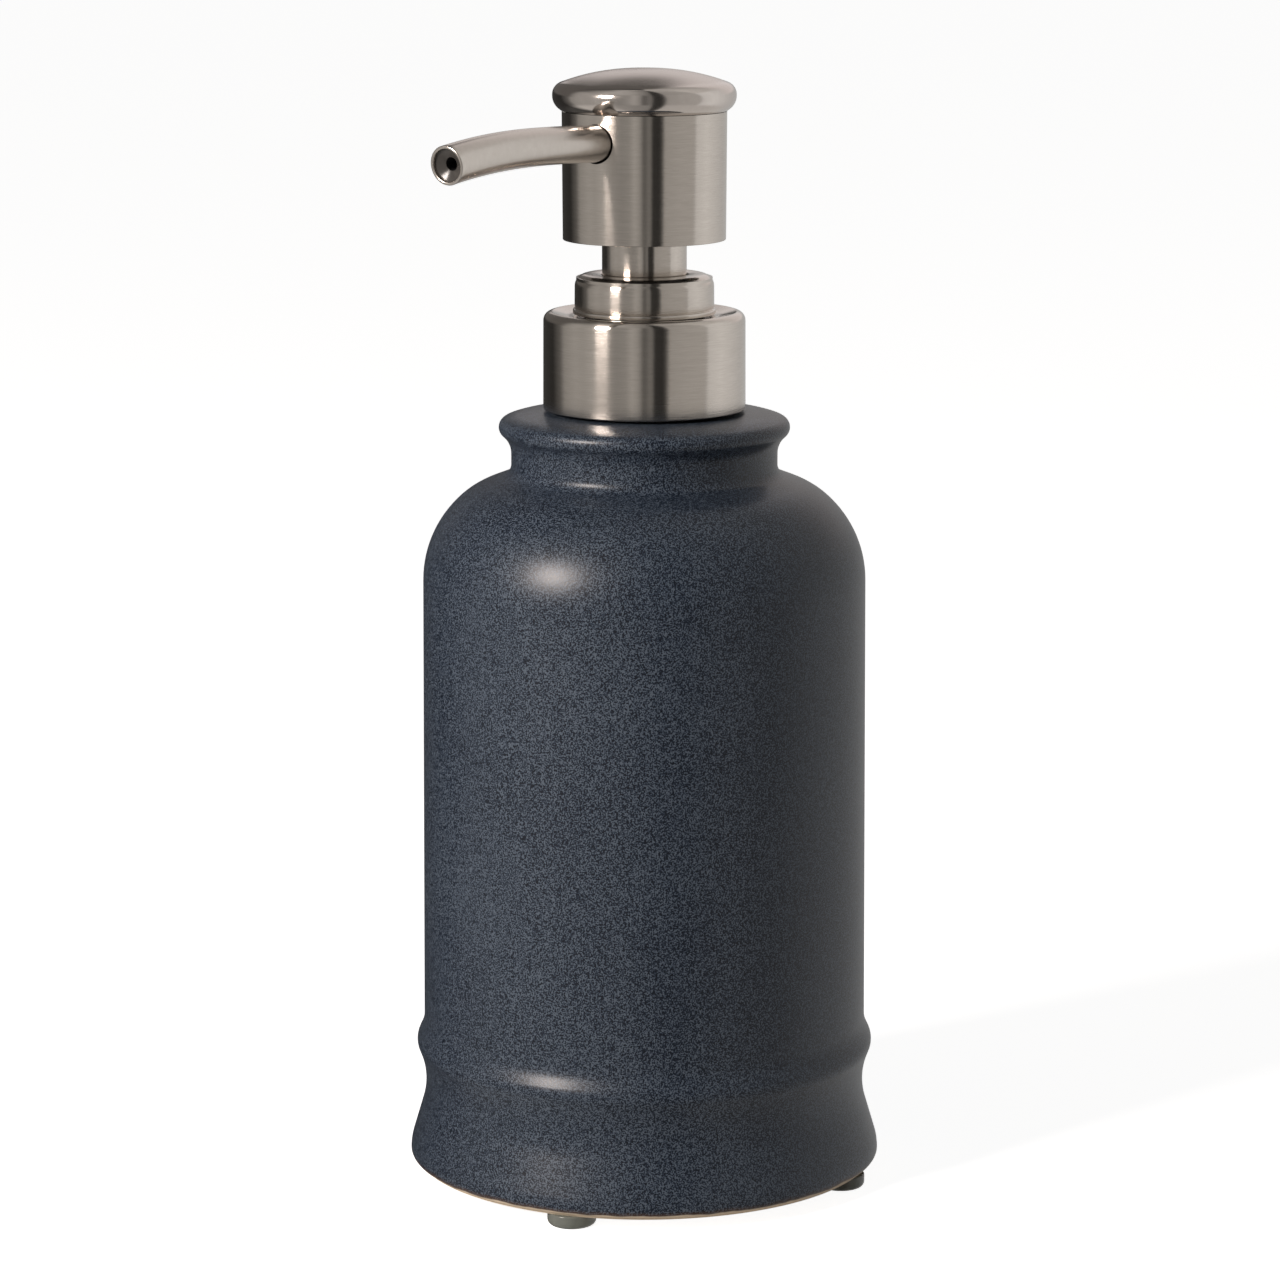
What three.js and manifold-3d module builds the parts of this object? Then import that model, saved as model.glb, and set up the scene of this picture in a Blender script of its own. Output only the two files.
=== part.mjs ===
// Counter-top pump dispenser for liquid soap: a flared ceramic bottle on clear pads, with a
// metal-skinned lotion pump that screws on to a plastic neck glued into the bottle's mouth.
// Millimetres, +Z up. The origin is on the bottle's axis, on the surface that the pads stand on.
// The spout points along -Y.
import * as THREE from "three";
import { mergeVertices } from "three/addons/utils/BufferGeometryUtils.js";
import Module from "manifold-3d";

// Driving dimensions. Heights are above the glaze's lower edge unless a name says otherwise.
const gap = 0.3; // between pieces that touch on the real object
const chordError = 0.13; // of an arc's straight steps
const glazeHeight = 2.6; // of the glaze's lower edge
const footRingDepth = 0.4;
const padRadius = 3.95;
const padCircle = 34.9;
const padAngles = [14, 103, 196, 286.5]; // stuck on by hand, so not quite evenly

const footRadius = 39.09;
const footRingRadius = 38.15;
const waistRadius = 35.55;
const bodyRadius = 36.62;
const shoulderHeight = 104.35;
const mouthHeight = 124.45;
const grooveRadius = 21.7;
const lipRadius = 23.7;
const mouthRadius = 12.3;
const wall = 4.2;
const floorHeight = 5.5;

const insertBore = 10.3;
const neckRadius = 12.55;
const threadRadius = 13.5;
const threadPitch = 3.2;
const neckTop = 135.5;

const collarRadius = 16.45;
const collarBottom = 125.0;
const collarTop = 140.2;
const collarCrown = 140.85;
const skin = 0.5; // sheet metal

const ringRadius = 11.32;
const ringBottom = collarTop + gap;
const ringTop = 146.85;
const ringHole = 7.05;

const flangeRadius = 12.3;
const barrelRadius = 7.6;
const barrelBore = 6.3;
const barrelFloor = 92;
const bellBore = 8.35;
const bellRadius = 9.65;
const bellFloor = 131.6;
const seatHole = 1.6;
const ballRadius = 2.2;

const stemRadius = 3.5;
const stemBore = 2.4;
const stemTop = 165.5;
const sleeveRadius = 6.86;
const sleeveBottom = 144.6;

const headRadius = 13.25;
const headBottom = 152.43;
const headTop = 173.1;
const coreBottom = 158.6;
const capRadius = 14.83;
const capTop = 179.85;

const spoutRadius = 2.97;
const spoutRoot = 6.5; // distance of the spout tube's inner end from the axis
const spoutReach = 51.3;
const spoutRootHeight = 168.31;
const spoutMouthHeight = 167.66;

const tubeRadius = 3.25;
const tubeBottom = 8.5;

const finish = {
  ceramic: { color: 0x39424f, roughness: 0.55, metalness: 0 },
  metal: { color: 0xb4aea6, roughness: 0.32, metalness: 1 },
  plastic: { color: 0xe9e7e2, roughness: 0.5, metalness: 0 },
  darkPlastic: { color: 0x2b2b2d, roughness: 0.5, metalness: 0 },
  clearTube: { color: 0xdfe4e4, roughness: 0.3, metalness: 0 },
  rubber: { color: 0xa9b2ad, roughness: 0.6, metalness: 0 },
  steel: { color: 0xc9c9c6, roughness: 0.2, metalness: 1 },
};

const wasm = await Module();
wasm.setup();

const pads = new THREE.Group();
const dispenser = new THREE.Group();
dispenser.position.z = glazeHeight;

function addPiece(name, geometry, look, group = dispenser) {
  const piece = new THREE.Mesh(geometry, new THREE.MeshStandardMaterial(finish[look]));
  piece.name = name;
  group.add(piece);
  return piece;
}

function halfAngle(before, corner, after) {
  const toBefore = before.clone().sub(corner).normalize();
  const toAfter = after.clone().sub(corner).normalize();
  return Math.acos(THREE.MathUtils.clamp(toBefore.dot(toAfter), -1, 1)) / 2;
}

// Points of one rounded corner: an arc tangent to both of its edges, at the given reach along them.
function filletPoints(before, corner, after, reach) {
  const toBefore = before.clone().sub(corner).normalize();
  const toAfter = after.clone().sub(corner).normalize();
  const half = halfAngle(before, corner, after);
  const size = reach * Math.tan(half);
  const bisector = toBefore.clone().add(toAfter).normalize();
  const centre = corner.clone().addScaledVector(bisector, size / Math.sin(half));
  const from = corner.clone().addScaledVector(toBefore, reach).sub(centre);
  const to = corner.clone().addScaledVector(toAfter, reach).sub(centre);
  const turn = Math.atan2(from.cross(to), from.dot(to));
  const stepAngle = 2 * Math.acos(1 - Math.min(0.3, chordError / size));
  const steps = Math.max(1, Math.ceil(Math.abs(turn) / stepAngle));
  return Array.from({ length: steps + 1 }, (_, i) =>
    from.clone().rotateAround(new THREE.Vector2(), (turn * i) / steps).add(centre),
  );
}

// An outline of corners [radius, height, fillet], with each fillet as an arc. An edge that is too
// short for the fillets at its ends is shared between them.
function outline(corners, closed) {
  const spots = corners.map(([r, z]) => new THREE.Vector2(r, z));
  const around = (list, i) => list[(i + list.length) % list.length];
  const wanted = corners.map(([, , fillet], i) =>
    fillet ? fillet / Math.tan(halfAngle(around(spots, i - 1), spots[i], around(spots, i + 1))) : 0,
  );
  const room = spots.map((spot, i) => {
    const edge = 0.98 * spot.distanceTo(around(spots, i + 1));
    return Math.min(1, edge / (wanted[i] + around(wanted, i + 1)));
  });
  const points = spots.flatMap((spot, i) => {
    const reach = wanted[i] * Math.min(around(room, i - 1), room[i]);
    if (reach === 0) return [spot.clone()];
    return filletPoints(around(spots, i - 1), spot, around(spots, i + 1), reach);
  });
  return closed ? [...points, points[0].clone()] : points;
}

// Turned pieces: a solid's corners run from the axis to the axis, a ring's close on themselves.
// Both run clockwise seen with the radius to the right and the height up.
function turnedSolid(corners, segments) {
  return new THREE.LatheGeometry(outline(corners, false).reverse(), segments).rotateX(Math.PI / 2);
}

function turnedRing(corners, segments) {
  return new THREE.LatheGeometry(outline(corners, true).reverse(), segments).rotateX(Math.PI / 2);
}

function tube(outer, inner, bottom, top, segments) {
  const corners = [
    [inner, bottom],
    [inner, top],
    [outer, top],
    [outer, bottom],
  ];
  return turnedRing(corners, segments);
}

function toSolid(geometry) {
  const bare = geometry.clone();
  bare.deleteAttribute("normal");
  bare.deleteAttribute("uv");
  const merged = mergeVertices(bare, 1e-4);
  const vertProperties = new Float32Array(merged.attributes.position.array);
  const corners = merged.index.array;
  const triVerts = [];
  for (let i = 0; i < corners.length; i += 3) {
    const [a, b, c] = corners.slice(i, i + 3);
    if (a !== b && b !== c && c !== a) triVerts.push(a, b, c);
  }
  return new wasm.Manifold(
    new wasm.Mesh({ numProp: 3, vertProperties, triVerts: new Uint32Array(triVerts) }),
  );
}

function cut(geometry, ...tools) {
  const left = tools.reduce((body, tool) => body.subtract(toSolid(tool)), toSolid(geometry));
  const mesh = left.getMesh();
  const result = new THREE.BufferGeometry();
  result.setAttribute("position", new THREE.BufferAttribute(mesh.vertProperties, 3));
  result.setIndex(new THREE.BufferAttribute(mesh.triVerts, 1));
  return result;
}

// A rod along -Y from the axis, for the spout's holes.
function frontRod(radius, from, to, height, segments = 24) {
  const rod = new THREE.CylinderGeometry(radius, radius, to - from, segments);
  return rod.translate(0, -(from + to) / 2, height);
}

function pad() {
  const top = glazeHeight - footRingDepth - gap;
  const corners = [
    [0, top],
    [padRadius, top, 0.2],
    [padRadius, 0, 0.9],
    [0, 0],
  ];
  return turnedSolid(corners, 16);
}

function bottle() {
  const corners = [
    [0, floorHeight],
    [footRadius - 2.2 * wall, floorHeight, 3],
    [waistRadius - wall, 14],
    [bodyRadius - wall, 26],
    [bodyRadius - wall, shoulderHeight - 3, 8],
    [26, 109.2],
    [mouthRadius, 110.5],
    [mouthRadius, mouthHeight],
    [16.5, mouthHeight],
    [21.1, 123.9, 10.5],
    [lipRadius, 123.1, 1.6],
    [lipRadius, 121.2, 1.6],
    [grooveRadius, 119.5, 4],
    [grooveRadius, 114.45, 2],
    [28.6, 111.8, 15],
    [36.14, shoulderHeight, 19.1],
    [bodyRadius, 22.59, 5.78],
    [38.09, 19.42, 3.23],
    [waistRadius, 13.48, 15.9],
    [38.94, 2.15, 7.92],
    [footRadius, 0, 0.94],
    [footRingRadius, 0],
    [footRingRadius, -footRingDepth, 0.2],
    [27.5, -footRingDepth],
    [26.5, 1.2],
    [0, 1.2],
  ];
  return turnedSolid(corners, 48);
}

// The glued-in neck: a plug, a flange on the bottle's mouth, and a threaded neck.
function neckInsert() {
  const flangeTop = mouthHeight + gap + 0.85;
  const ridges = [2.5, 1.5].flatMap((turn) => {
    const z = flangeTop + turn * threadPitch;
    return [
      [neckRadius, z + 0.9],
      [threadRadius, z + 0.35],
      [threadRadius, z - 0.35],
      [neckRadius, z - 0.9],
    ];
  });
  const corners = [
    [insertBore, 112],
    [insertBore, neckTop],
    [neckRadius, neckTop, 0.4],
    ...ridges,
    [neckRadius, flangeTop],
    [15.2, flangeTop, 0.3],
    [15.2, mouthHeight + gap],
    [mouthRadius - gap, mouthHeight + gap],
    [mouthRadius - gap, 112],
  ];
  return turnedRing(corners, 28);
}

function pumpHousing() {
  const corners = [
    [tubeRadius + gap, 76],
    [tubeRadius + gap, 86],
    [seatHole, 86],
    [seatHole, 87.5],
    [3.0, 88.9],
    [3.0, barrelFloor],
    [barrelBore, barrelFloor],
    [barrelBore, bellFloor],
    [bellBore, bellFloor],
    [bellBore, 143],
    [bellRadius, 143],
    [bellRadius, 138.3],
    [flangeRadius, 138.3],
    [flangeRadius, 136.8],
    [bellRadius, 136.8],
    [bellRadius, 132.5],
    [barrelRadius, 129.8],
    [barrelRadius, 90.5, 2],
    [4.5, 87],
    [4.5, 76],
  ];
  return turnedRing(corners, 24);
}

// The stem guide snaps on the housing; its pocket takes the sleeve when the head is pressed.
function stemGuide() {
  const top = ringTop - skin - gap;
  const foot = bellFloor + gap;
  const corners = [
    [stemRadius + 0.35, foot],
    [stemRadius + 0.35, 141],
    [5.8, 141],
    [5.8, foot + 1.2],
    [7.4, foot + 1.2],
    [7.4, top],
    [10.75, top],
    [10.75, collarTop + gap],
    [bellRadius + gap, collarTop + gap],
    [bellRadius + gap, 144],
    [bellBore - gap, 144],
    [bellBore - gap, foot],
  ];
  return turnedRing(corners, 24);
}

function ringShell() {
  const inner = 11.05;
  const corners = [
    [ringHole, ringTop - skin],
    [ringHole, ringTop, 0.2],
    [ringRadius, ringTop, 1.8],
    [ringRadius, ringBottom + 0.9, 0.2],
    [ringRadius + 0.3, ringBottom + 0.7, 0.3],
    [ringRadius + 0.3, ringBottom, 0.2],
    [inner, ringBottom],
    [inner, ringTop - skin],
  ];
  return turnedRing(corners, 36);
}

// Lets liquid past the ball through three lobes, and carries the spring.
function valveCage() {
  const plate = new THREE.Shape().absarc(0, 0, barrelBore - gap, 0, 2 * Math.PI);
  const hole = new THREE.Path();
  const lobes = Array.from({ length: 24 }, (_, i) => {
    const angle = (i * Math.PI) / 12;
    const radius = 2.3 + 0.5 * Math.cos(3 * angle);
    return new THREE.Vector2(radius * Math.cos(angle), radius * Math.sin(angle));
  });
  hole.setFromPoints(lobes);
  plate.holes.push(hole);
  const extrusion = { depth: 1.1, bevelEnabled: false, curveSegments: 12 };
  return new THREE.ExtrudeGeometry(plate, extrusion).translate(0, 0, barrelFloor + gap);
}

class Helix extends THREE.Curve {
  constructor(radius, bottom, top, turns) {
    super();
    Object.assign(this, { radius, bottom, top, turns });
  }

  getPoint(t, target = new THREE.Vector3()) {
    const angle = 2 * Math.PI * this.turns * t;
    const height = THREE.MathUtils.lerp(this.bottom, this.top, t);
    return target.set(this.radius * Math.cos(angle), this.radius * Math.sin(angle), height);
  }
}

function spring() {
  const wire = 0.5;
  const bottom = barrelFloor + 1.1 + 2 * gap + wire;
  const path = new Helix(4.5, bottom, 124.9 - wire, 6);
  const section = new THREE.Shape().absarc(0, 0, wire, 0, 2 * Math.PI);
  const extrusion = { steps: 72, curveSegments: 3, extrudePath: path, bevelEnabled: false };
  return new THREE.ExtrudeGeometry(section, extrusion);
}

function dipTube() {
  const straight = tube(tubeRadius, 2.3, tubeBottom, 85.7, 24);
  const wedge = new THREE.BoxGeometry(30, 30, 30).translate(0, 0, -15).rotateX(Math.PI / 5);
  return cut(straight, wedge.translate(0, 0, tubeBottom + 2.4));
}

function closure() {
  const bottom = 125.9;
  const top = collarTop - skin - gap;
  const corners = [
    [13.9, bottom],
    [13.9, top - 0.95],
    [10, top - 0.95],
    [10, top],
    [15.55, top, 1.2],
    [15.55, bottom, 0.3],
  ];
  return turnedRing(corners, 32);
}

function collarShell() {
  const inner = collarRadius - skin;
  const corners = [
    [inner, collarBottom],
    [inner, collarCrown - 1.5 * skin, 1.2],
    [14.8, collarCrown - skin, 1.2],
    [12.4, collarTop - skin, 2],
    [10.2, collarTop - skin],
    [10.2, collarTop],
    [12.4, collarTop, 3],
    [15, collarCrown, 1.2],
    [collarRadius - 0.03, collarCrown - 0.25, 1.7],
    [collarRadius, collarBottom],
  ];
  return turnedRing(corners, 40);
}

// Two thin lips seal on the barrel.
function piston() {
  const lip = barrelBore - 0.06;
  const corners = [
    [stemRadius + gap, 127],
    [stemRadius + gap, 131.2],
    [5.4, 131.2],
    [lip, 131.4],
    [lip, 130.6],
    [5.3, 129.9],
    [5.3, 128.4],
    [lip, 127.7],
    [lip, 127],
  ];
  return turnedRing(corners, 24);
}

function stem() {
  const straight = tube(stemRadius, stemBore, 127, stemTop, 24);
  const port = new THREE.CylinderGeometry(1, 1, 12, 12).rotateZ(Math.PI / 2);
  return cut(straight, port.translate(0, 0, 129.2));
}

function stemPlug() {
  const corners = [
    [0, 137],
    [stemBore - gap, 137, 0.5],
    [stemBore - gap, 131],
    [1.3, 130.4],
    [1.3, 128],
    [stemBore - gap, 127.4],
    [stemBore - gap, 126.7],
    [5.1, 126.7],
    [5.1, 125.2, 0.4],
    [0, 125.2],
  ];
  return turnedSolid(corners, 20);
}

// The head's plastic core joins the stem to the spout.
function headCore() {
  const radius = headRadius - skin - 0.35;
  const socket = 5.3;
  const boss = sleeveRadius - 0.46 - gap;
  const bossBottom = 153;
  const corners = [
    [0, 170.2],
    [1.8, 170.2],
    [1.8, stemTop + gap],
    [stemRadius + gap, stemTop + gap],
    [stemRadius + gap, bossBottom],
    [boss, bossBottom],
    [boss, coreBottom],
    [radius, coreBottom],
    [radius, headTop - 0.1],
    [socket, headTop - 0.1],
    [socket, 171.1],
    [0, 171.1],
  ].reverse();
  const channel = frontRod(1.5, 0, 7, spoutRootHeight, 16);
  const seat = frontRod(spoutRadius + gap, spoutRoot - gap, 20, spoutRootHeight + 0.1, 32);
  return cut(turnedSolid(corners, 32), channel, seat);
}

function headShell() {
  const straight = tube(headRadius, headRadius - skin, headBottom, headTop - gap, 44);
  const hole = frontRod(spoutRadius + gap, 5, 20, spoutRootHeight + 0.25, 32);
  return cut(straight, hole);
}

function domeCap() {
  const inner = 12.4;
  const corners = [
    [0, capTop - 1.3],
    [10.2, 177.3],
    [inner, 176.2],
    [inner, headTop],
    [headRadius, headTop],
    [capRadius, 174.2, 2.6],
    [capRadius, 177.15, 2.2],
    [7.5, capTop, 38],
    [0, capTop],
  ].reverse();
  return turnedSolid(corners, 40);
}

function capCore() {
  const radius = 12.4 - gap;
  const corners = [
    [0, capTop - 1.7],
    [9.9, 176.8],
    [radius, 175.7],
    [radius, headTop + 0.2],
    [5, headTop + 0.2],
    [5, 171.4, 0.5],
    [0, 171.4],
  ];
  return turnedSolid(corners, 24);
}

// The spout's centreline, a little upward and then drooping, up to shortBy from the mouth.
function spoutPath(shortBy) {
  const path = new THREE.CubicBezierCurve3(
    new THREE.Vector3(0, -spoutRoot, spoutRootHeight),
    new THREE.Vector3(0, -spoutRoot - 18, spoutRootHeight + 0.67),
    new THREE.Vector3(0, -spoutReach + 16, spoutMouthHeight + 2.24),
    new THREE.Vector3(0, -spoutReach, spoutMouthHeight),
  );
  const length = path.getLength();
  const points = Array.from({ length: 13 }, (_, i) =>
    path.getPointAt((i / 12) * (1 - shortBy / length)),
  );
  return new THREE.CatmullRomCurve3(points);
}

function bentTube(outer, inner, path, curveSegments) {
  const section = new THREE.Shape().absarc(0, 0, outer, 0, 2 * Math.PI);
  section.holes.push(new THREE.Path().absarc(0, 0, inner, 0, 2 * Math.PI));
  const extrusion = { steps: 12, curveSegments, extrudePath: path, bevelEnabled: false };
  return new THREE.ExtrudeGeometry(section, extrusion);
}

for (const [index, degrees] of padAngles.entries()) {
  const angle = THREE.MathUtils.degToRad(degrees);
  const piece = addPiece(`foot_pad_${index + 1}`, pad(), "rubber", pads);
  piece.position.set(padCircle * Math.cos(angle), padCircle * Math.sin(angle), 0);
}

addPiece("bottle", bottle(), "ceramic");
addPiece("neck_insert", neckInsert(), "plastic");

addPiece("pump_housing", pumpHousing(), "plastic");
addPiece("flange_gasket", tube(12.4, 10.7, neckTop + gap, 136.5, 24), "rubber");
addPiece("stem_guide", stemGuide(), "darkPlastic");
addPiece("ring_shell", ringShell(), "metal");
addPiece("valve_cage", valveCage(), "plastic");
addPiece("spring", spring(), "steel");
addPiece("dip_tube", dipTube(), "clearTube");

addPiece("closure", closure(), "darkPlastic");
addPiece("collar_shell", collarShell(), "metal");

addPiece("piston", piston(), "rubber");

addPiece("stem", stem(), "plastic");
addPiece("stem_plug", stemPlug(), "plastic");
addPiece("head_core", headCore(), "darkPlastic");
addPiece("head_shell", headShell(), "metal");
addPiece("dome_cap", domeCap(), "metal");
addPiece("cap_core", capCore(), "darkPlastic");
addPiece("neck_sleeve", tube(sleeveRadius, sleeveRadius - 0.46, sleeveBottom, 158.3, 32), "metal");
addPiece("spout_tube", bentTube(spoutRadius, spoutRadius - skin, spoutPath(0), 9), "metal");
addPiece("spout_liner", bentTube(2.1, 1.1, spoutPath(0.5), 6), "darkPlastic");

const ball = new THREE.SphereGeometry(ballRadius, 16, 10).rotateX(Math.PI / 2);
addPiece("inlet_ball", ball.translate(0, 0, 89.3), "steel");

const pumpDispenser = new THREE.Group();
pumpDispenser.add(pads, dispenser);

export default pumpDispenser;
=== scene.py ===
import math

import bpy
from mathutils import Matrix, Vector


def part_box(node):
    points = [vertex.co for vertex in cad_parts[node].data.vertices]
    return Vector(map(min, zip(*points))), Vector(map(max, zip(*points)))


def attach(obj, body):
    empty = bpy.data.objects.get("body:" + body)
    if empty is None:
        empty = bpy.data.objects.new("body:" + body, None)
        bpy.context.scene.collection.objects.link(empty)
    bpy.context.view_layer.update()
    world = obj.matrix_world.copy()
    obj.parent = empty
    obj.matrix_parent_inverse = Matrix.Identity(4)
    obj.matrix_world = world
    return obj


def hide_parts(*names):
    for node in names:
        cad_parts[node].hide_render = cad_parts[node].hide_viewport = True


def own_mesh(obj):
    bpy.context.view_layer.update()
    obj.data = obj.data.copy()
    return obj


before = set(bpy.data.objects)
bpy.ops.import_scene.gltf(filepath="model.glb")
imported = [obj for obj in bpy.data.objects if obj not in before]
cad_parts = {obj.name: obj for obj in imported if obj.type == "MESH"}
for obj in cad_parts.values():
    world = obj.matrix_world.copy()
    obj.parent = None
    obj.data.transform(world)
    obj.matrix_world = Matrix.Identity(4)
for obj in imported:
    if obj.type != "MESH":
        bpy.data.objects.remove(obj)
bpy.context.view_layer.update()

mm = 0.001
mouthHeight = 124.45
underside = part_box("bottle")[1].z - mouthHeight * mm  # the glaze's lower edge
footRing = 0.4  # how far the bare foot ring stands below it, in mm


# Drawing and turning


def deselectAll():
    if bpy.context.object and bpy.context.object.mode != "OBJECT":
        bpy.ops.object.mode_set(mode="OBJECT")
    bpy.ops.object.select_all(action="DESELECT")


def makeActive(piece):
    deselectAll()
    piece.select_set(True)
    bpy.context.view_layer.objects.active = piece


def namePiece(name):
    piece = bpy.context.object
    piece.name = piece.data.name = name
    return piece


def extrudeTo(here, point):
    step = point - here
    if step.length > 0.001 * mm:
        bpy.ops.mesh.extrude_vertices_move(
            TRANSFORM_OT_translate={"value": (step.x, 0, step.y)}
        )
    return point


# How far each fillet reaches along its edges: an edge too short for two is shared between them
def filletReaches(spots, fillets):
    count = len(spots)
    wanted = [0] * count
    for i, fillet in enumerate(fillets):
        if fillet:
            turned = (spots[i - 1] - spots[i]).angle(spots[(i + 1) % count] - spots[i])
            wanted[i] = fillet / math.tan(turned / 2)
    room = [1] * count
    for i in range(count):
        both = wanted[i] + wanted[(i + 1) % count]
        if both:
            room[i] = min(1, 0.98 * (spots[(i + 1) % count] - spots[i]).length / both)
    return [wanted[i] * min(room[i - 1], room[i]) for i in range(count)]


# Draws one rounded corner as an arc, from the point before it to where the arc ends
def drawCorner(here, before, corner, after, reach):
    toBefore = (before - corner).normalized()
    toAfter = (after - corner).normalized()
    half = toBefore.angle(toAfter) / 2
    size = reach * math.tan(half)
    centre = corner + (toBefore + toAfter).normalized() * (size / math.sin(half))
    extrudeTo(here, corner + toBefore * reach)
    turn = math.pi - 2 * half
    finest = 2 * math.acos(1 - min(0.05, 0.008 * mm / size))  # chords 8 microns off the arc
    left = (corner - before).cross(after - corner) > 0
    bpy.ops.mesh.spin(
        steps=max(3, math.ceil(turn / finest)),
        angle=turn if left else -turn,
        center=(centre.x, 0, centre.y),
        axis=(0, 1, 0),
    )
    return corner + toAfter * reach


# An outline in the XZ plane: corners of radius, height above the underside and fillet, in mm
def drawOutline(name, corners, closed=False):
    deselectAll()
    bpy.ops.mesh.primitive_plane_add(size=mm)
    piece = namePiece(name)
    spots = [Vector((corner[0] * mm, underside + corner[1] * mm)) for corner in corners]
    fillets = [corner[2] * mm if len(corner) > 2 else 0 for corner in corners]
    reaches = [*filletReaches(spots, fillets), 0]
    if closed:
        spots.append(spots[0])
    bpy.ops.object.mode_set(mode="EDIT")
    bpy.ops.mesh.select_all(action="SELECT")
    bpy.ops.mesh.merge(type="CENTER")
    bpy.ops.transform.translate(value=(spots[0].x, 0, spots[0].y))
    here = spots[0]
    for i in range(1, len(spots)):
        if reaches[i]:
            here = drawCorner(here, spots[i - 1], spots[i], spots[i + 1], reaches[i])
        else:
            here = extrudeTo(here, spots[i])
    return piece


def editAll(piece):
    makeActive(piece)
    bpy.ops.object.mode_set(mode="EDIT")
    bpy.ops.mesh.select_all(action="SELECT")


# Moves the mesh inside its object, which stays at the origin
def moveMesh(piece, offset):
    editAll(piece)
    bpy.ops.transform.translate(value=offset)
    bpy.ops.object.mode_set(mode="OBJECT")


def closeMesh():
    bpy.ops.mesh.select_all(action="SELECT")
    bpy.ops.mesh.remove_doubles(threshold=0.001 * mm)
    bpy.ops.mesh.normals_make_consistent(inside=False)
    bpy.ops.object.mode_set(mode="OBJECT")


def smooth(piece, degrees=32):
    makeActive(piece)
    bpy.ops.object.shade_smooth_by_angle(angle=math.radians(degrees))


# Turns an outline once around the bottle's axis
def turnPiece(name, corners, steps, closed=False):
    piece = drawOutline(name, corners, closed)
    bpy.ops.mesh.select_all(action="SELECT")
    bpy.ops.mesh.spin(steps=steps, angle=2 * math.pi, center=(0, 0, 0), axis=(0, 0, 1))
    closeMesh()
    smooth(piece)
    return piece


def applyModifier(piece, kind, settings):
    makeActive(piece)
    bpy.ops.object.modifier_add(type=kind)
    modifier = piece.modifiers[-1]
    for key, value in settings.items():
        setattr(modifier, key, value)
    bpy.ops.object.modifier_apply(modifier=modifier.name)


# Cuts the active object out of a piece and removes it
def cutAway(piece):
    cutter = bpy.context.object
    settings = {"object": cutter, "operation": "DIFFERENCE", "solver": "EXACT"}
    applyModifier(piece, "BOOLEAN", settings)
    bpy.data.objects.remove(cutter)


def drill(piece, radius, start, end, height):
    deselectAll()
    bpy.ops.mesh.primitive_cylinder_add(
        vertices=64,
        radius=radius * mm,
        depth=(end - start) * mm,
        location=(0, -(start + end) / 2 * mm, underside + height * mm),
        rotation=(math.pi / 2, 0, 0),
    )
    cutAway(piece)


def ringWidth(node):
    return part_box(node)[1].x / mm


def heights(node):
    low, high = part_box(node)
    return (low.z - underside) / mm, (high.z - underside) / mm


def settle(piece, body, slot, material, *nodes):
    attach(piece, body)
    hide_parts(*nodes)
    piece.data.materials.clear()
    piece.data.materials.append(material)


# Shader maths


class Value:
    def __init__(self, maker, socket):
        self.maker = maker
        self.socket = socket

    def math(self, operation, first, second):
        return self.maker.add("ShaderNodeMath", {"operation": operation}, {0: first, 1: second})

    def __add__(self, other):
        return self.math("ADD", self, other)

    def __radd__(self, other):
        return self.math("ADD", other, self)

    def __sub__(self, other):
        return self.math("SUBTRACT", self, other)

    def __rsub__(self, other):
        return self.math("SUBTRACT", other, self)

    def __mul__(self, other):
        return self.math("MULTIPLY", self, other)

    def __rmul__(self, other):
        return self.math("MULTIPLY", other, self)

    def __truediv__(self, other):
        return self.math("DIVIDE", self, other)

    def __rtruediv__(self, other):
        return self.math("DIVIDE", other, self)

    def __pow__(self, other):
        return self.math("POWER", self, other)

    def __rpow__(self, other):
        return self.math("POWER", other, self)


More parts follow.
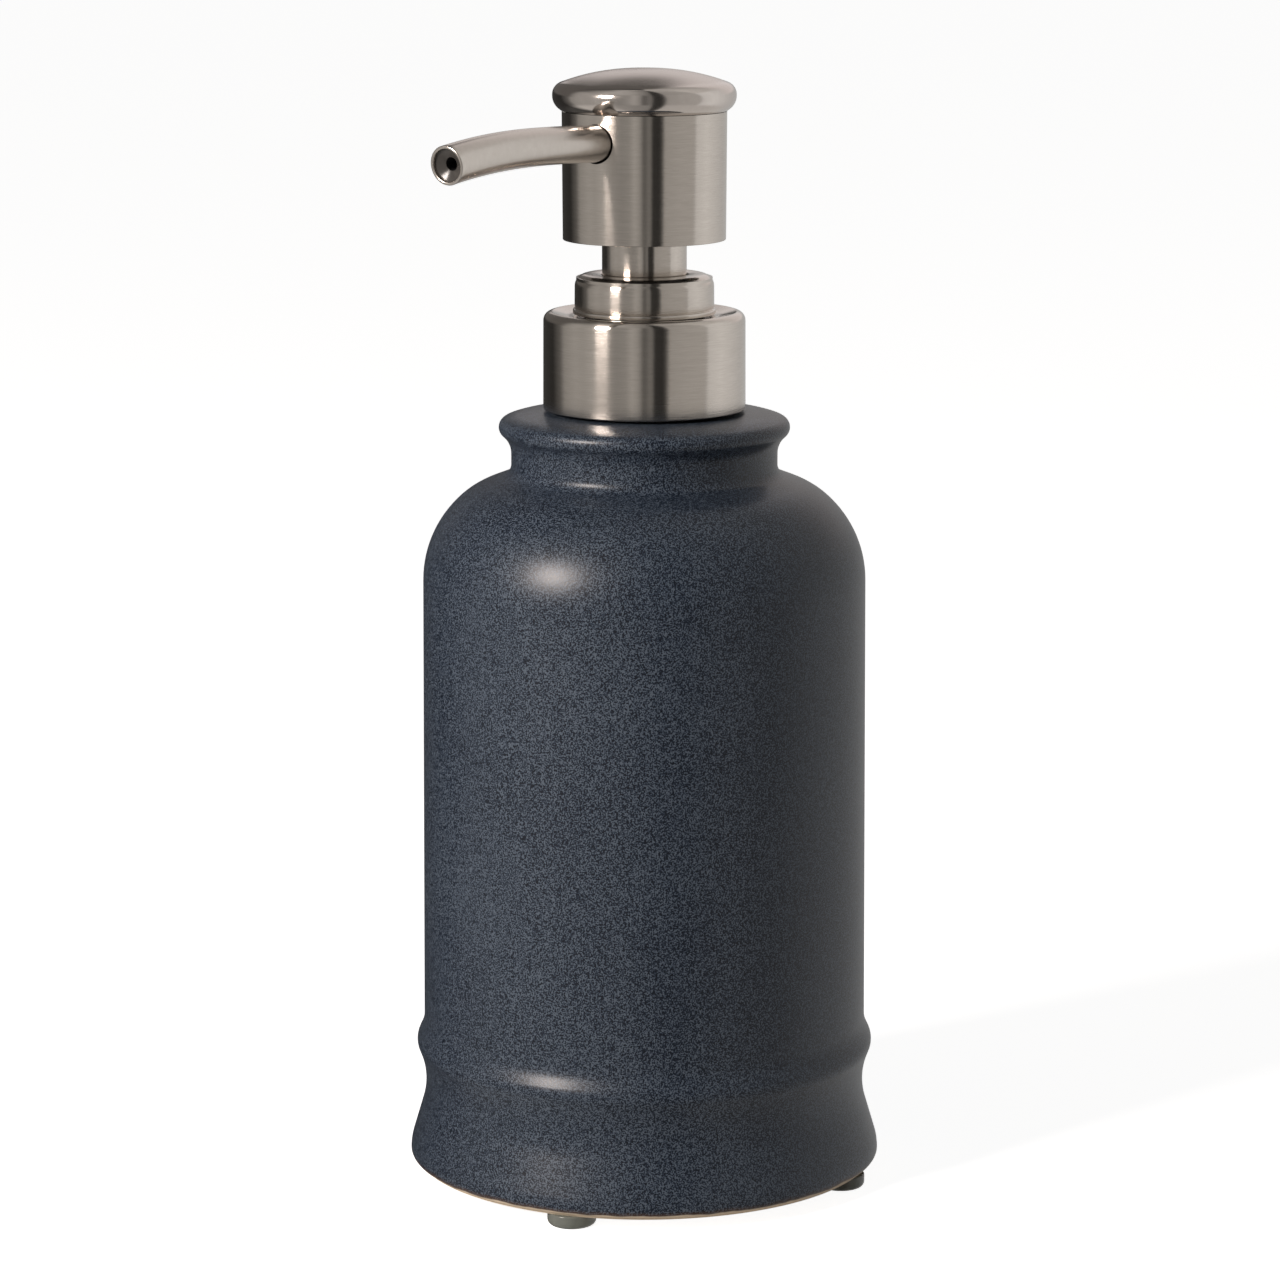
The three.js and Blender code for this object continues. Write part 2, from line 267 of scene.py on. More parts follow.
class NodeMaker:
    def __init__(self, tree):
        self.tree = tree
        tree.nodes.clear()

    # Settings are set first, then the sockets' values or links
    def add(self, kind, settings=None, sockets=None, output=0):
        node = self.tree.nodes.new(kind)
        for key, value in (settings or {}).items():
            if key == "stops":
                self.fillRamp(node.color_ramp, value)
            else:
                setattr(node, key, value)
        for key, value in (sockets or {}).items():
            if isinstance(value, Value):
                self.tree.links.new(value.socket, node.inputs[key])
            else:
                node.inputs[key].default_value = value
        if len(node.outputs) == 0:
            return None
        return Value(self, node.outputs[output])

    def fillRamp(self, ramp, stops):
        while len(ramp.elements) > 1:
            ramp.elements.remove(ramp.elements[-1])
        for i, (place, colour) in enumerate(stops):
            element = ramp.elements[0] if i == 0 else ramp.elements.new(place)
            element.position = place
            element.color = (*colour, 1)

    def mixColours(self, factor, first, second, blend="MIX"):
        settings = {"data_type": "RGBA", "blend_type": blend}
        return self.add("ShaderNodeMix", settings, {0: factor, 6: first, 7: second}, 2)

    def ramp(self, factor, stops):
        return self.add("ShaderNodeValToRGB", {"stops": stops}, {"Fac": factor})

    def step(self, value, low, high):
        sockets = {"Value": value, "From Min": low, "From Max": high}
        return self.add("ShaderNodeMapRange", {"interpolation_type": "SMOOTHSTEP"}, sockets)

    def noise(self, place, scale, detail=2.0, roughness=0.5):
        sockets = {"Vector": place, "Scale": scale, "Detail": detail, "Roughness": roughness}
        return self.add("ShaderNodeTexNoise", {}, sockets)

    def place(self):
        return self.add("ShaderNodeTexCoord", {}, {}, "Object")

    def split(self, vector):
        node = self.add("ShaderNodeSeparateXYZ", {}, {"Vector": vector}).socket.node
        return [Value(self, node.outputs[axis]) for axis in "XYZ"]

    def join(self, x, y, z):
        return self.add("ShaderNodeCombineXYZ", {}, {"X": x, "Y": y, "Z": z})

    def bump(self, height, distance, strength=1.0):
        return self.add(
            "ShaderNodeBump", {}, {"Height": height, "Distance": distance, "Strength": strength}
        )

    def finish(self, sockets):
        surface = self.add("ShaderNodeBsdfPrincipled", {}, sockets)
        self.add("ShaderNodeOutputMaterial", {}, {"Surface": surface})


def newMaterial(name):
    material = bpy.data.materials.new(name)
    material.use_nodes = True
    return material, NodeMaker(material.node_tree)


# Finishes


def speckledGlaze():
    look = {
        "dark": (0.003, 0.006, 0.013),
        "middle": (0.019, 0.031, 0.056),
        "light": (0.105, 0.135, 0.175),
        "grain": 4200,  # per metre
        "bisque": (0.82, 0.70, 0.54),
        "rust": (0.10, 0.055, 0.03),
        "roughness": 0.34,
        "shine": 0.40,
    }
    material, make = newMaterial("speckledGlaze")
    place = make.place()
    height = make.split(place)[2] - underside
    fine = make.noise(place, look["grain"], 1.5, 0.6)
    coarse = make.noise(place, look["grain"] * 0.45, 2.0, 0.6)
    cloud = make.noise(place, 38, 3.0, 0.5)
    grain = fine * 0.82 + coarse * 0.18 + (cloud - 0.5) * 0.06
    colour = make.ramp(
        grain,
        [(0.43, look["dark"]), (0.5, look["middle"]), (0.57, look["light"])],
    )
    drip = (make.noise(place, 160, 2.0, 0.5) - 0.5) * 0.0012
    rusty = make.step(height + drip, 0.0013, 0.0005)
    bare = make.step(height + drip, 0.0006, 0.0003)
    colour = make.mixColours(rusty * 0.6, colour, (*look["rust"], 1))
    colour = make.mixColours(bare, colour, (*look["bisque"], 1))
    make.finish(
        {
            "Base Color": colour,
            "Roughness": look["roughness"] + (fine - 0.5) * 0.25 + bare * 0.4,
            "Specular IOR Level": look["shine"],
            "Normal": make.bump(fine + coarse * 0.6, 0.00003, 0.6),
        }
    )
    return material


def brushedNickel(name, look):
    material, make = newMaterial(name)
    place = make.place()
    x, y, z = make.split(place)
    radius = (x * x + y * y) ** 0.5
    along = (z + radius) * look["linesPerMetre"]
    fine = make.noise(make.join(x / radius * 5, y / radius * 5, along), 1, 2.0, 0.65)
    wide = make.join(x / radius * 2.2, y / radius * 2.2, along * 0.22)
    broad = make.noise(wide, 1, 2.0, 0.6)
    lines = fine * 0.65 + broad * 0.35
    colour = make.mixColours(lines, (*look["dark"], 1), (*look["light"], 1))
    make.finish(
        {
            "Base Color": colour,
            "Metallic": 1.0,
            "Roughness": look["roughness"] + (lines - 0.5) * look["unevenness"],
            "Anisotropic": look["brushing"],
            "Anisotropic Rotation": look["turned"],
            "Normal": make.bump(lines, look["depth"], 1.0),
        }
    )
    return material


def satinNickel(name, look):
    material, make = newMaterial(name)
    place = make.place()
    x, y, z = make.split(place)
    edge = look.get("polishedFrom", 1)  # metres from the axis, and 1 is past every piece
    polished = make.step((x * x + y * y) ** 0.5, edge, edge + 0.0012)
    cloud = make.noise(place, 900, 3.0, 0.6)
    fine = make.noise(place, 5200, 1.0, 0.5)
    colour = make.mixColours(cloud, (*look["dark"], 1), (*look["light"], 1))
    make.finish(
        {
            "Base Color": colour,
            "Metallic": 1.0,
            "Roughness": look["roughness"] - polished * 0.13 + (cloud - 0.5) * 0.06,
            "Normal": make.bump(fine, 0.000002, 0.5),
        }
    )
    return material


def mouldedPlastic(name, colour, roughness, clear=0.0):
    material, make = newMaterial(name)
    place = make.place()
    cloud = make.noise(place, 240, 3.0, 0.5)
    pores = make.noise(place, 4200, 1.0, 0.5)
    shade = [0.88 * channel for channel in colour]
    make.finish(
        {
            "Base Color": make.mixColours(cloud, (*shade, 1), (*colour, 1)),
            "Roughness": roughness + (pores - 0.5) * 0.12,
            "Transmission Weight": clear,
            "IOR": 1.46,
            "Normal": make.bump(pores, 0.000004, 0.5),
        }
    )
    return material


nickelLook = {
    "dark": (0.53, 0.485, 0.44),
    "light": (0.75, 0.695, 0.64),
    "roughness": 0.15,
    "unevenness": 0.08,
    "brushing": 1.0,
    "turned": 0.25,
    "linesPerMetre": 5200,
    "depth": 0.00002,
}
satinLook = {"dark": (0.60, 0.555, 0.51), "light": (0.70, 0.65, 0.60), "roughness": 0.24}
domeLook = {
    "dark": (0.62, 0.565, 0.53),
    "light": (0.70, 0.65, 0.61),
    "roughness": 0.25,
    "polishedFrom": 0.0122,
}
steelLook = {"dark": (0.55, 0.55, 0.54), "light": (0.68, 0.68, 0.67), "roughness": 0.16}
glaze = speckledGlaze()
brushed = brushedNickel("brushedNickel", nickelLook)
satin = satinNickel("satinNickel", satinLook)
satinDome = satinNickel("satinDome", domeLook)
padClear = mouldedPlastic("clearPad", (0.42, 0.46, 0.42), 0.22, 0.55)
whitePlastic = mouldedPlastic("whitePlastic", (0.80, 0.79, 0.75), 0.38)
blackPlastic = mouldedPlastic("blackPlastic", (0.025, 0.025, 0.027), 0.35)
greyPlastic = mouldedPlastic("greyPlastic", (0.06, 0.057, 0.053), 0.22)
milkyTube = mouldedPlastic("milkyTube", (0.72, 0.75, 0.74), 0.25, 0.35)
sealRubber = mouldedPlastic("sealRubber", (0.62, 0.61, 0.57), 0.6)
brightSteel = satinNickel("brightSteel", steelLook)
print("finishes made")


# The bottle and its pads

bottleShape = {
    "mouth": 12.3,
    "wall": 4.2,
    "floor": 5.5,
    "lip": 23.7,
    "groove": 21.7,
    "shoulderHeight": 104.35,
    "body": 36.62,
    "bead": 38.09,
    "waist": 35.55,
    "foot": 39.07,
    "footRing": 38.15,
}


def makeBottle(shape):
    inner = shape["body"] - shape["wall"]
    corners = [
        (0, shape["floor"]),
        (shape["foot"] - 2.2 * shape["wall"], shape["floor"], 4),
        (shape["waist"] - shape["wall"], 14, 12),
        (inner, 26, 10),
        (inner, shape["shoulderHeight"] - 3, 14),
        (26, 109.2, 14),
        (shape["mouth"], 110.5, 3),
        (shape["mouth"], mouthHeight, 0.4),
        (16.5, mouthHeight, 20),
        (21.1, 123.9, 10.5),
        (shape["lip"], 123.1, 1.6),
        (shape["lip"], 121.2, 1.6),
        (shape["groove"], 119.5, 4),
        (shape["groove"], 114.45, 2),
        (28.6, 111.8, 15),
        (36.14, shape["shoulderHeight"], 19.1),
        (shape["body"], 22.59, 5.78),
        (shape["bead"], 19.42, 3.23),
        (shape["waist"], 13.48, 15.9),
        (38.94, 2.15, 7.92),
        (shape["foot"], 0, 0.94),
        (shape["footRing"], 0, 0.1),
        (shape["footRing"], -footRing, 0.2),
        (27.5, -footRing, 0.5),
        (26.5, 1.2, 0.8),
        (0, 1.2),
    ]
    piece = turnPiece("ceramicBottle", corners, 192)
    settle(piece, "bottle", "ceramic", glaze, "bottle")


padShape = {"radius": 3.95, "edge": 0.2, "round": 0.9}


def makePads(shape):
    foot = -underside / mm
    corners = [
        (0, -footRing),
        (shape["radius"], -footRing, shape["edge"]),
        (shape["radius"], foot, shape["round"]),
        (0, foot),
    ]
    pads = [turnPiece("bumperPad1", corners, 48)]
    for index in range(2, 5):
        makeActive(pads[0])
        bpy.ops.object.duplicate()
        pads.append(namePiece(f"bumperPad{index}"))
    for index, piece in enumerate(pads, 1):
        low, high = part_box(f"foot_pad_{index}")
        middle = (low + high) / 2
        moveMesh(piece, (middle.x, middle.y, 0))
        settle(piece, "bottle", "pad", padClear, f"foot_pad_{index}")


makeBottle(bottleShape)
makePads(padShape)
print("bottle made")


# The metal skins

skinShape = {
    "skin": 0.5,
    "crown": 0.65,
    "collarFillet": 1.7,
    "collarHole": 10.2,
    "dishWidth": 12.4,
    "ringFillet": 1.9,
    "ringHole": 7.05,
    "ringWall": 0.27,
    "lipSize": 0.3,
    "sleeveWall": 0.46,
}


def makeCollar(shape):
    low, high = heights("collar_shell")
    radius = ringWidth("collar_shell")
    skin = shape["skin"]
    inner = radius - skin
    dish = high - shape["crown"]
    corners = [
        (inner, low + 0.1),
        (inner, high - 1.5 * skin, shape["collarFillet"] - skin),
        (14.8, high - skin, 1.2),
        (shape["dishWidth"], dish - skin, 2),
        (shape["collarHole"], dish - skin),
        (shape["collarHole"], dish, 0.1),
        (shape["dishWidth"], dish, 3),
        (15, high, 1.2),
        (radius - 0.07, high - 0.27, shape["collarFillet"]),
        (radius, low, 0.15),
        (inner, low, 0.1),
    ]
    piece = turnPiece("collarSkin", corners, 160, True)
    settle(piece, "collar", "metal", brushed, "collar_shell")


def makeRing(shape):
    low, high = heights("ring_shell")
    lip = ringWidth("ring_shell")
    radius = lip - shape["lipSize"]
    inner = radius - shape["ringWall"]
    corners = [
        (inner, low),
        (inner, high - shape["skin"]),
        (shape["ringHole"], high - shape["skin"]),
        (shape["ringHole"], high, 0.25),
        (radius - 0.05, high, shape["ringFillet"]),
        (radius, low + 0.95, 0.08),
        (radius - 0.12, low + 0.86, 0.05),
        (radius - 0.02, low + 0.76, 0.05),
        (lip, low + 0.7, 0.25),
        (lip, low, 0.12),
    ]
    piece = turnPiece("ringSkin", corners, 144, True)
    settle(piece, "pump", "metal", brushed, "ring_shell")


def makeSleeve(shape):
    low, high = heights("neck_sleeve")
    radius = ringWidth("neck_sleeve")
    inner = radius - shape["sleeveWall"]
    corners = [(inner, high), (radius, high), (radius, low, 0.15), (inner, low, 0.1)]
    piece = turnPiece("neckSleeve", corners, 112, True)
    settle(piece, "head", "metal", brushed, "neck_sleeve")


headShape = {"skin": 0.5, "taper": 0.06, "edge": 0.14, "holeRoom": 0.18, "holeLift": 0.2}
spoutShape = {
    "radius": 2.97,
    "wall": 0.52,
    "root": 6.5,
    "reach": 51.2,
    "rootHeight": 168.31,
    "mouthHeight": 167.6,
    "rootSize": 0.985,
    "mouthSize": 1.045,
    "droop": 0.14,
    "rootPull": 18,
    "rootLift": 0.67,
    "mouthPull": 16,
    "liner": 2.3,
    "nozzle": 1.05,
    "nozzleDepth": 1.5,
    "lipDepth": 0.6,
}


def makeHead(shape):
    low, high = heights("head_shell")
    radius = ringWidth("head_shell")
    inner = radius - shape["skin"]
    corners = [
        (inner, high),
        (radius + shape["taper"], high + 0.25),
        (radius - shape["taper"], low, shape["edge"]),
        (inner, low, shape["edge"]),
    ]
    piece = turnPiece("headSkin", corners, 160, True)
    hole = spoutShape["radius"] + shape["holeRoom"]
    drill(piece, hole, 5, 20, spoutShape["rootHeight"] + shape["holeLift"])
    smooth(piece)
    settle(piece, "head", "metal", brushed, "head_shell")


capShape = {"inside": 12.4, "rimHeight": 177.15, "rimFillet": 2.2, "undercut": 2.6, "crown": 38}


def makeCap(shape):
    low, high = heights("dome_cap")
    rim = ringWidth("dome_cap")
    inner = shape["inside"]
    corners = [
        (0, high - 1.3),
        (10.2, 177.3, 8),
        (inner, 176.2, 1),
        (inner, low),
        (13.3, low, 0.15),
        (rim, 174.2, shape["undercut"]),
        (rim, shape["rimHeight"], shape["rimFillet"]),
        (7.5, high, shape["crown"]),
        (0, high),
    ]
    piece = turnPiece("domedCap", corners, 160)
    settle(piece, "head", "metal", satinDome, "dome_cap")


def bentTube(name, outer, inner, shortBy, edge):
    shape = spoutShape
    deselectAll()
    bpy.ops.curve.primitive_bezier_curve_add(location=(0, 0, 0))
    curve = bpy.context.object
    bpy.ops.object.mode_set(mode="OBJECT")
    spline = curve.data.splines[0]
    rootHeight = underside + shape["rootHeight"] * mm
    mouthPlace = underside + shape["mouthHeight"] * mm
    root, mouth = spline.bezier_points
    for point in (root, mouth):
        point.handle_left_type = point.handle_right_type = "FREE"
    root.radius, mouth.radius = shape["rootSize"], shape["mouthSize"]
    root.co = (0, -shape["root"] * mm, rootHeight)
    root.handle_left = (0, (-shape["root"] + 5) * mm, rootHeight - 0.2 * mm)
    lift = shape["rootLift"] * mm
    root.handle_right = (0, (-shape["root"] - shape["rootPull"]) * mm, rootHeight + lift)
    mouth.co = (0, -shape["reach"] * mm, mouthPlace)
    pull = shape["mouthPull"]
    rise = pull * shape["droop"] * mm
    mouth.handle_left = (0, (-shape["reach"] + pull) * mm, mouthPlace + rise)
    mouth.handle_right = (0, (-shape["reach"] - 8) * mm, mouthPlace - 8 * shape["droop"] * mm)
    curve.data.resolution_u = 48
    curve.data.bevel_depth = outer * mm
    curve.data.bevel_resolution = 14
    curve.data.use_fill_caps = False
    makeActive(curve)
    bpy.ops.object.convert(target="MESH")
    piece = namePiece(name)
    if shortBy:
        editAll(piece)
        tipHeight = mouthPlace + shape["droop"] * shortBy * mm
        tip = Vector((0, (shortBy - shape["reach"]) * mm, tipHeight))
        bpy.ops.mesh.bisect(
            plane_co=tip, plane_no=(0, -1, -shape["droop"]), clear_outer=True, use_fill=False
        )
        bpy.ops.object.mode_set(mode="OBJECT")
    applyModifier(piece, "SOLIDIFY", {"thickness": (outer - inner) * mm, "offset": -1})
    sharp = {"limit_method": "ANGLE", "angle_limit": math.radians(50)}
    applyModifier(piece, "BEVEL", {"width": edge * mm, "segments": 3, **sharp})
    bpy.ops.object.mode_set(mode="EDIT")
    closeMesh()
    smooth(piece)
    return piece


def makeSpout(shape):
    tube = bentTube("spoutTube", shape["radius"], shape["radius"] - shape["wall"], 0, 0.2)
    settle(tube, "head", "metal", satin, "spout_tube")
    depth = shape["nozzleDepth"]
    liner = bentTube("spoutLiner", shape["liner"], shape["nozzle"], depth, 0.05)
    settle(liner, "head", "dark_plastic", blackPlastic, "spout_liner")
    inner = shape["radius"] * shape["mouthSize"] - shape["wall"]
    level = -underside / mm
    corners = [
        (inner, level - depth),
        (shape["nozzle"], level - depth),
        (shape["nozzle"], level - depth + 0.2, 0.1),
        (inner - 0.15, level - shape["lipDepth"], 0.1),
        (inner, level - shape["lipDepth"]),
    ]
    funnel = turnPiece("nozzleFunnel", corners, 64, True)
    tilt = -math.pi / 2 - math.atan(shape["droop"])
    editAll(funnel)
    bpy.ops.transform.rotate(value=tilt, orient_axis="X", center_override=(0, 0, 0))
    moveMesh(funnel, (0, -shape["reach"] * mm, underside + shape["mouthHeight"] * mm))
    settle(funnel, "head", "dark_plastic", greyPlastic, "spout_liner")


makeCollar(skinShape)
makeRing(skinShape)
makeSleeve(skinShape)
makeHead(headShape)
makeCap(capShape)
makeSpout(spoutShape)
print("metal skins made")


# The moulded pieces that show when the pump is taken out


def makeMoulded(name, node, body, slot, material, corners, steps=112):
    piece = turnPiece(name, corners, steps, True)
    settle(piece, body, slot, material, node)
    return piece


# Sweeps the active outline up a helix and closes its ends
def screwUp(piece, turns, rise, steps):
    settings = {"axis": "Z", "angle": 2 * math.pi * turns, "screw_offset": rise * mm}
    settings.update({"steps": steps, "render_steps": steps, "use_merge_vertices": False})
    applyModifier(piece, "SCREW", settings)
    editAll(piece)
    bpy.ops.mesh.fill_holes(sides=0)
    closeMesh()
    smooth(piece, 50)


neckShape = {
    "bore": 10.3,
    "outside": 12.55,
    "thread": 13.5,
    "pitch": 3.2,
    "turns": 1.3,
    "flange": 15.2,
}


def makeNeck(shape):
    low, high = heights("neck_insert")
    under = mouthHeight + 0.3
    plug = bottleShape["mouth"] - 0.3
    corners = [
        (shape["bore"], low),
        (shape["bore"], high, 0.3),
        (shape["outside"], high, 0.4),
        (shape["outside"], under + 0.85, 0.2),
        (shape["flange"], under + 0.85, 0.3),
        (shape["flange"], under, 0.1),
        (plug, under, 0.2),
        (plug, low, 0.3),
    ]
    makeMoulded("neckInsert", "neck_insert", "bottle", "plastic", whitePlastic, corners)
    start = high - 1.0 - shape["pitch"] * shape["turns"]
    ridge = drawOutline(
        "neckThread",
        [
            (shape["outside"] - 0.1, start - 0.85),
            (shape["outside"] - 0.1, start + 0.85),
            (shape["thread"], start + 0.35, 0.15),
            (shape["thread"], start - 0.35, 0.15),
        ],
        True,
    )
    closeMesh()
    screwUp(ridge, shape["turns"], shape["pitch"] * shape["turns"], 96)
    settle(ridge, "bottle", "plastic", whitePlastic, "neck_insert")


housingShape = {
    "barrel": 7.6,
    "bore": 6.3,
    "bell": 9.65,
    "bellBore": 8.35,
    "bellFloor": 131.6,
    "flange": 12.3,
    "flangeUnder": 136.8,
    "flangeTop": 138.3,
    "stub": 4.5,
    "seat": 86,
    "chamber": 92,
}


def makeHousing(shape):
    low, high = heights("pump_housing")
    corners = [
        (3.55, low),
        (3.55, shape["seat"]),
        (1.6, shape["seat"], 0.2),
        (1.6, 87.5),
        (3.0, 88.9),
        (3.0, shape["chamber"]),
        (shape["bore"], shape["chamber"]),
        (shape["bore"], shape["bellFloor"], 0.2),
        (shape["bellBore"], shape["bellFloor"], 0.2),
        (shape["bellBore"], high, 0.2),
        (shape["bell"], high, 0.2),
        (shape["bell"], shape["flangeTop"], 0.3),
        (shape["flange"], shape["flangeTop"], 0.3),
        (shape["flange"], shape["flangeUnder"], 0.3),
        (shape["bell"], shape["flangeUnder"], 0.3),
        (shape["bell"], 132.5, 1.5),
        (shape["barrel"], 129.8, 1.5),
        (shape["barrel"], 90.5, 2),
        (shape["stub"], 87, 1),
        (shape["stub"], low, 0.4),
    ]
    makeMoulded("pumpHousing", "pump_housing", "pump", "plastic", whitePlastic, corners)


tubeShape = {"outside": 3.25, "bore": 2.3, "slant": 36, "slantHeight": 2.4}


def makeDipTube(shape):
    low, high = heights("dip_tube")
    corners = [
        (shape["bore"], low),
        (shape["bore"], high),
        (shape["outside"], high),
        (shape["outside"], low),
    ]
    piece = makeMoulded("dipTube", "dip_tube", "pump", "clear_tube", milkyTube, corners, 64)
    slant = math.radians(shape["slant"])
    side = 30 * mm
    deselectAll()
    bpy.ops.mesh.primitive_cube_add(
        size=side,
        location=(
            0,
            side / 2 * math.sin(slant),
            underside + (low + shape["slantHeight"]) * mm - side / 2 * math.cos(slant),
        ),
        rotation=(slant, 0, 0),
    )
    cutAway(piece)
    smooth(piece)


closureShape = {"outside": 15.55, "thread": 13.9, "hole": 10, "ledge": 0.95}


def makeClosure(shape):
    low, high = heights("closure")
    corners = [
        (shape["thread"], low),
        (shape["thread"], high - shape["ledge"], 0.2),
        (shape["hole"], high - shape["ledge"], 0.1),
        (shape["hole"], high, 0.1),
        (shape["outside"], high, 1.2),
        (shape["outside"], low, 0.3),
    ]
    makeMoulded("closure", "closure", "collar", "dark_plastic", blackPlastic, corners)


springShape = {"wire": 0.5, "radius": 4.5, "turns": 6, "squeezed": 0.646}


def makeSpring(shape):
    low, high = heights("spring")
    deselectAll()
    bpy.ops.mesh.primitive_circle_add(
        vertices=16,
        radius=shape["wire"] * mm,
        location=(shape["radius"] * mm, 0, underside + (low + shape["wire"]) * mm),
        rotation=(math.pi / 2, 0, 0),
    )
    bpy.ops.object.transform_apply(location=True, rotation=True, scale=True)
    piece = namePiece("pumpSpring")
    screwUp(piece, shape["turns"], high - low - 2 * shape["wire"], 40 * shape["turns"])
    settle(piece, "pump", "steel", brightSteel, "spring")
    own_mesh(piece)


makeNeck(neckShape)
makeHousing(housingShape)
makeDipTube(tubeShape)
makeClosure(closureShape)
makeSpring(springShape)

cadFinishes = {
    "flange_gasket": sealRubber,
    "stem_guide": blackPlastic,
    "valve_cage": whitePlastic,
    "piston": sealRubber,
    "stem": whitePlastic,
    "stem_plug": whitePlastic,
    "head_core": blackPlastic,
    "cap_core": blackPlastic,
    "inlet_ball": brightSteel,
}
for node, material in cadFinishes.items():
    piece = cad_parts[node]
    piece.data.materials.clear()
    piece.data.materials.append(material)
print("moulded pieces finished")


# Floor, light and camera

studio = {
    "cameraTurn": 36,
    "distance": 717.5,
    "height": 225.1,
    "pitch": 10.73,
    "aside": -0.71,
    "lens": 125.04,
    "fill": 0.16,  # how much of the surround lights the matt surfaces
    "keyPower": 5.7,
    "keySize": 0.2,
    "keyTurn": -50.5,
    "keyRise": 25,
    "keyDistance": 0.8,
    "keyAim": 0.09,
    "keyColour": (1.0, 0.9, 0.84),
    "rearBand": (0.76, 0.705, 0.69, 1),
    "loft": (0.13, 0.122, 0.115, 1),
    "zenith": (0.50, 0.50, 0.50, 1),
    "below": (0.60, 0.60, 0.60, 1),
}


def around(turn, rise, distance):
    a, e = math.radians(turn), math.radians(rise)
    return Vector((math.sin(a) * math.cos(e), -math.cos(a) * math.cos(e), math.sin(e))) * distance


def makeCamera(setup):
    turn = math.radians(setup["cameraTurn"])
    aside = Vector((math.cos(turn), math.sin(turn), 0)) * setup["aside"]
    place = around(setup["cameraTurn"], 0, setup["distance"]) + aside
    bpy.ops.object.camera_add(
        location=(place.x * mm, place.y * mm, setup["height"] * mm),
        rotation=(math.radians(90 - setup["pitch"]), 0, turn),
    )
    camera = bpy.context.object
    camera.data.lens = setup["lens"]
    camera.data.sensor_width = 36
    camera.data.clip_start = 0.01
    camera.data.clip_end = 100
    bpy.context.scene.camera = camera


def makeFloor():
    deselectAll()
    bpy.ops.mesh.primitive_plane_add(size=40, location=(0, 0, 0))
    floor = namePiece("floor")
    material, make = newMaterial("paleFloor")
    glow = make.add("ShaderNodeLightPath", {}, {}, "Is Camera Ray") * 0.92
    make.finish(
        {
            "Base Color": (0.8, 0.8, 0.8, 1),
            "Roughness": 0.9,
            "Specular IOR Level": 0.0,
            "Emission Color": (1, 1, 1, 1),
            "Emission Strength": glow,
        }
    )
    floor.data.materials.append(material)
    floor.visible_glossy = False


# Grey of the studio by bearing, in degrees right of the camera: at eye level and under the ceiling
wallGreys = [
    (-180, 0.05),
    (-128, 0.03),
    (-112, 0.14),
    (-104, 0.34),
    (-86, 0.42),
    (-74, 0.40),
    (-62, 0.46),
    (-52, 0.40),
    (-42, 0.33),
    (-32, 0.30),
    (-22, 0.33),
    (-14, 0.45),
    (-8, 0.38),
    (-5, 0.30),
    (-1.5, 0.14),
    (2, 0.14),
    (5, 0.21),
    (9, 0.20),
    (11.5, 0.045),
    (21, 0.035),
    (25, 0.09),
    (29, 0.40),
    (50, 0.45),
    (75, 0.47),
    (79, 0.70),
    (98, 0.78),
    (115, 0.70),
    (140, 0.56),
    (180, 0.46),
]
ceilingGreys = [
    (-180, 0.10),
    (-120, 0.06),
    (-95, 0.25),
    (-60, 0.50),
    (-20, 0.42),
    (9, 0.18),
    (11.5, 0.03),
    (25, 0.05),
    (29, 0.36),
    (74, 0.44),
    (80, 0.62),
    (125, 0.55),
    (180, 0.30),
]
# The same dark strips carried over the zenith and the floor
shadeGreys = [
    (-180, 0.15),
    (-125, 0.12),
    (-105, 1.0),
    (-55, 0.9),
    (-40, 0.6),
    (9, 0.45),
    (11.5, 0.05),
    (25, 0.1),
    (29, 0.85),
    (180, 1.0),
]


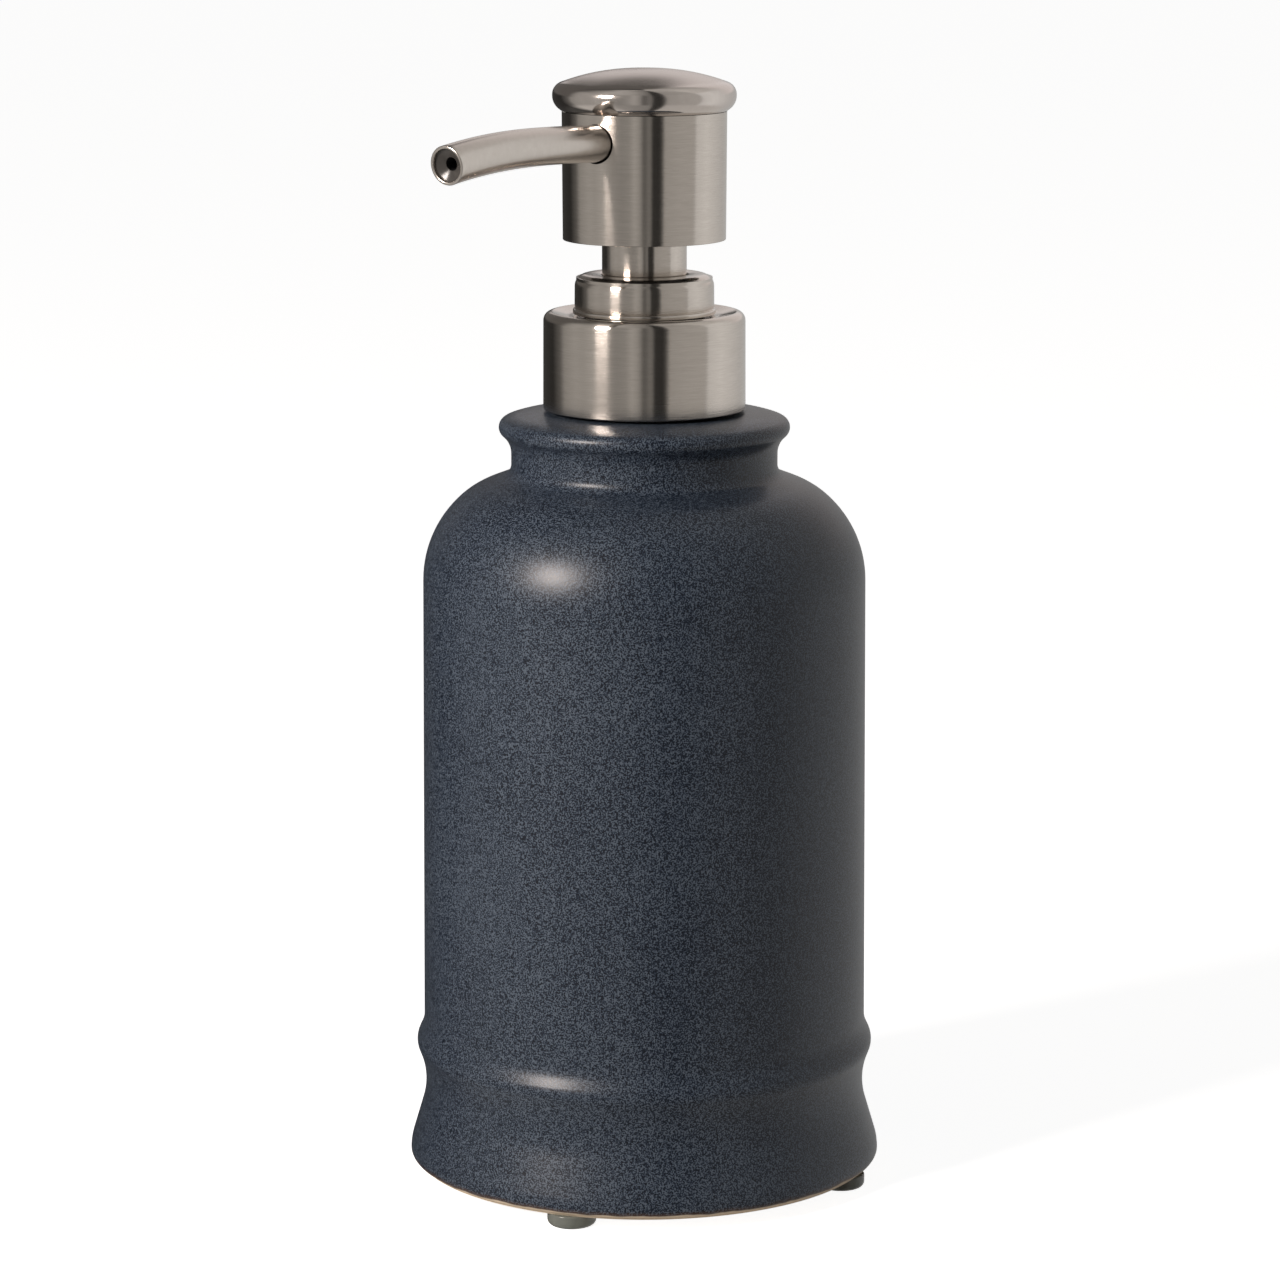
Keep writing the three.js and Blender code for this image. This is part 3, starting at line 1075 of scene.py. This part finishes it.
def makeSurround(setup):
    world = bpy.data.worlds.new("studio")
    bpy.context.scene.world = world
    world.use_nodes = True
    make = NodeMaker(world.node_tree)
    direction = make.add("ShaderNodeTexCoord", {}, {}, "Generated")
    x, y, z = make.split(direction)
    turn = math.radians(setup["cameraTurn"])
    ahead = x * math.sin(turn) - y * math.cos(turn)
    right = x * math.cos(turn) + y * math.sin(turn)
    bearing = right.math("ARCTAN2", right, ahead) / (2 * math.pi) + 0.5

    def greys(table, green=0.965, blue=0.92):
        stops = [(angle / 360 + 0.5, (grey, grey * green, grey * blue)) for angle, grey in table]
        return make.ramp(bearing, stops)

    warm = greys(wallGreys)
    neutral = greys(wallGreys, 0.985, 0.965)
    colour = make.mixColours(make.step(bearing, 0.70, 0.72), warm, neutral)
    colour = make.mixColours(make.step(z, 0.52, 0.70), colour, greys(ceilingGreys))
    behind = make.step(0 - ahead, 0.35, 0.8) * make.step(z, 0.08, 0.19) * make.step(z, 0.80, 0.66)
    colour = make.mixColours(behind, colour, setup["rearBand"])
    shade = greys(shadeGreys)
    zenith = make.mixColours(1.0, shade, setup["zenith"], "MULTIPLY")
    below = make.mixColours(1.0, shade, setup["below"], "MULTIPLY")
    colour = make.mixColours(make.step(z, 0.90, 0.985), colour, zenith)
    colour = make.mixColours(make.step(0 - z, 0.40, 0.62), colour, below)
    high = make.step(z, 0.42, 0.56) * make.step(right, 0.15, 0.04)
    leftSide = make.step(right, -0.07, -0.16) * make.step(z, 0.0, 0.1)
    dark = make.step(0 - ahead, 0.05, 0.5) * high.math("MAXIMUM", high, leftSide)
    colour = make.mixColours(dark, colour, setup["loft"])
    glossy = make.add("ShaderNodeLightPath", {}, {}, "Is Glossy Ray")
    seen = make.add("ShaderNodeLightPath", {}, {}, "Is Camera Ray")
    colour = make.mixColours(seen, colour, (1, 1, 1, 1))
    strength = glossy * (1 - setup["fill"]) + seen * (1 - setup["fill"]) + setup["fill"]
    background = make.add("ShaderNodeBackground", {}, {"Color": colour, "Strength": strength})
    make.add("ShaderNodeOutputWorld", {}, {"Surface": background})


def makeKey(setup):
    target = Vector((0, 0, setup["keyAim"]))
    bearing = setup["cameraTurn"] + setup["keyTurn"]
    place = around(bearing, setup["keyRise"], setup["keyDistance"]) + target
    bpy.ops.object.light_add(type="AREA", location=place)
    light = bpy.context.object
    light.rotation_euler = (place - target).to_track_quat("Z", "Y").to_euler()
    light.data.energy = setup["keyPower"]
    light.data.size = setup["keySize"]
    light.data.color = setup["keyColour"]


makeCamera(studio)
makeFloor()
makeSurround(studio)
makeKey(studio)
bpy.context.scene.view_settings.view_transform = "Standard"
print("studio made")
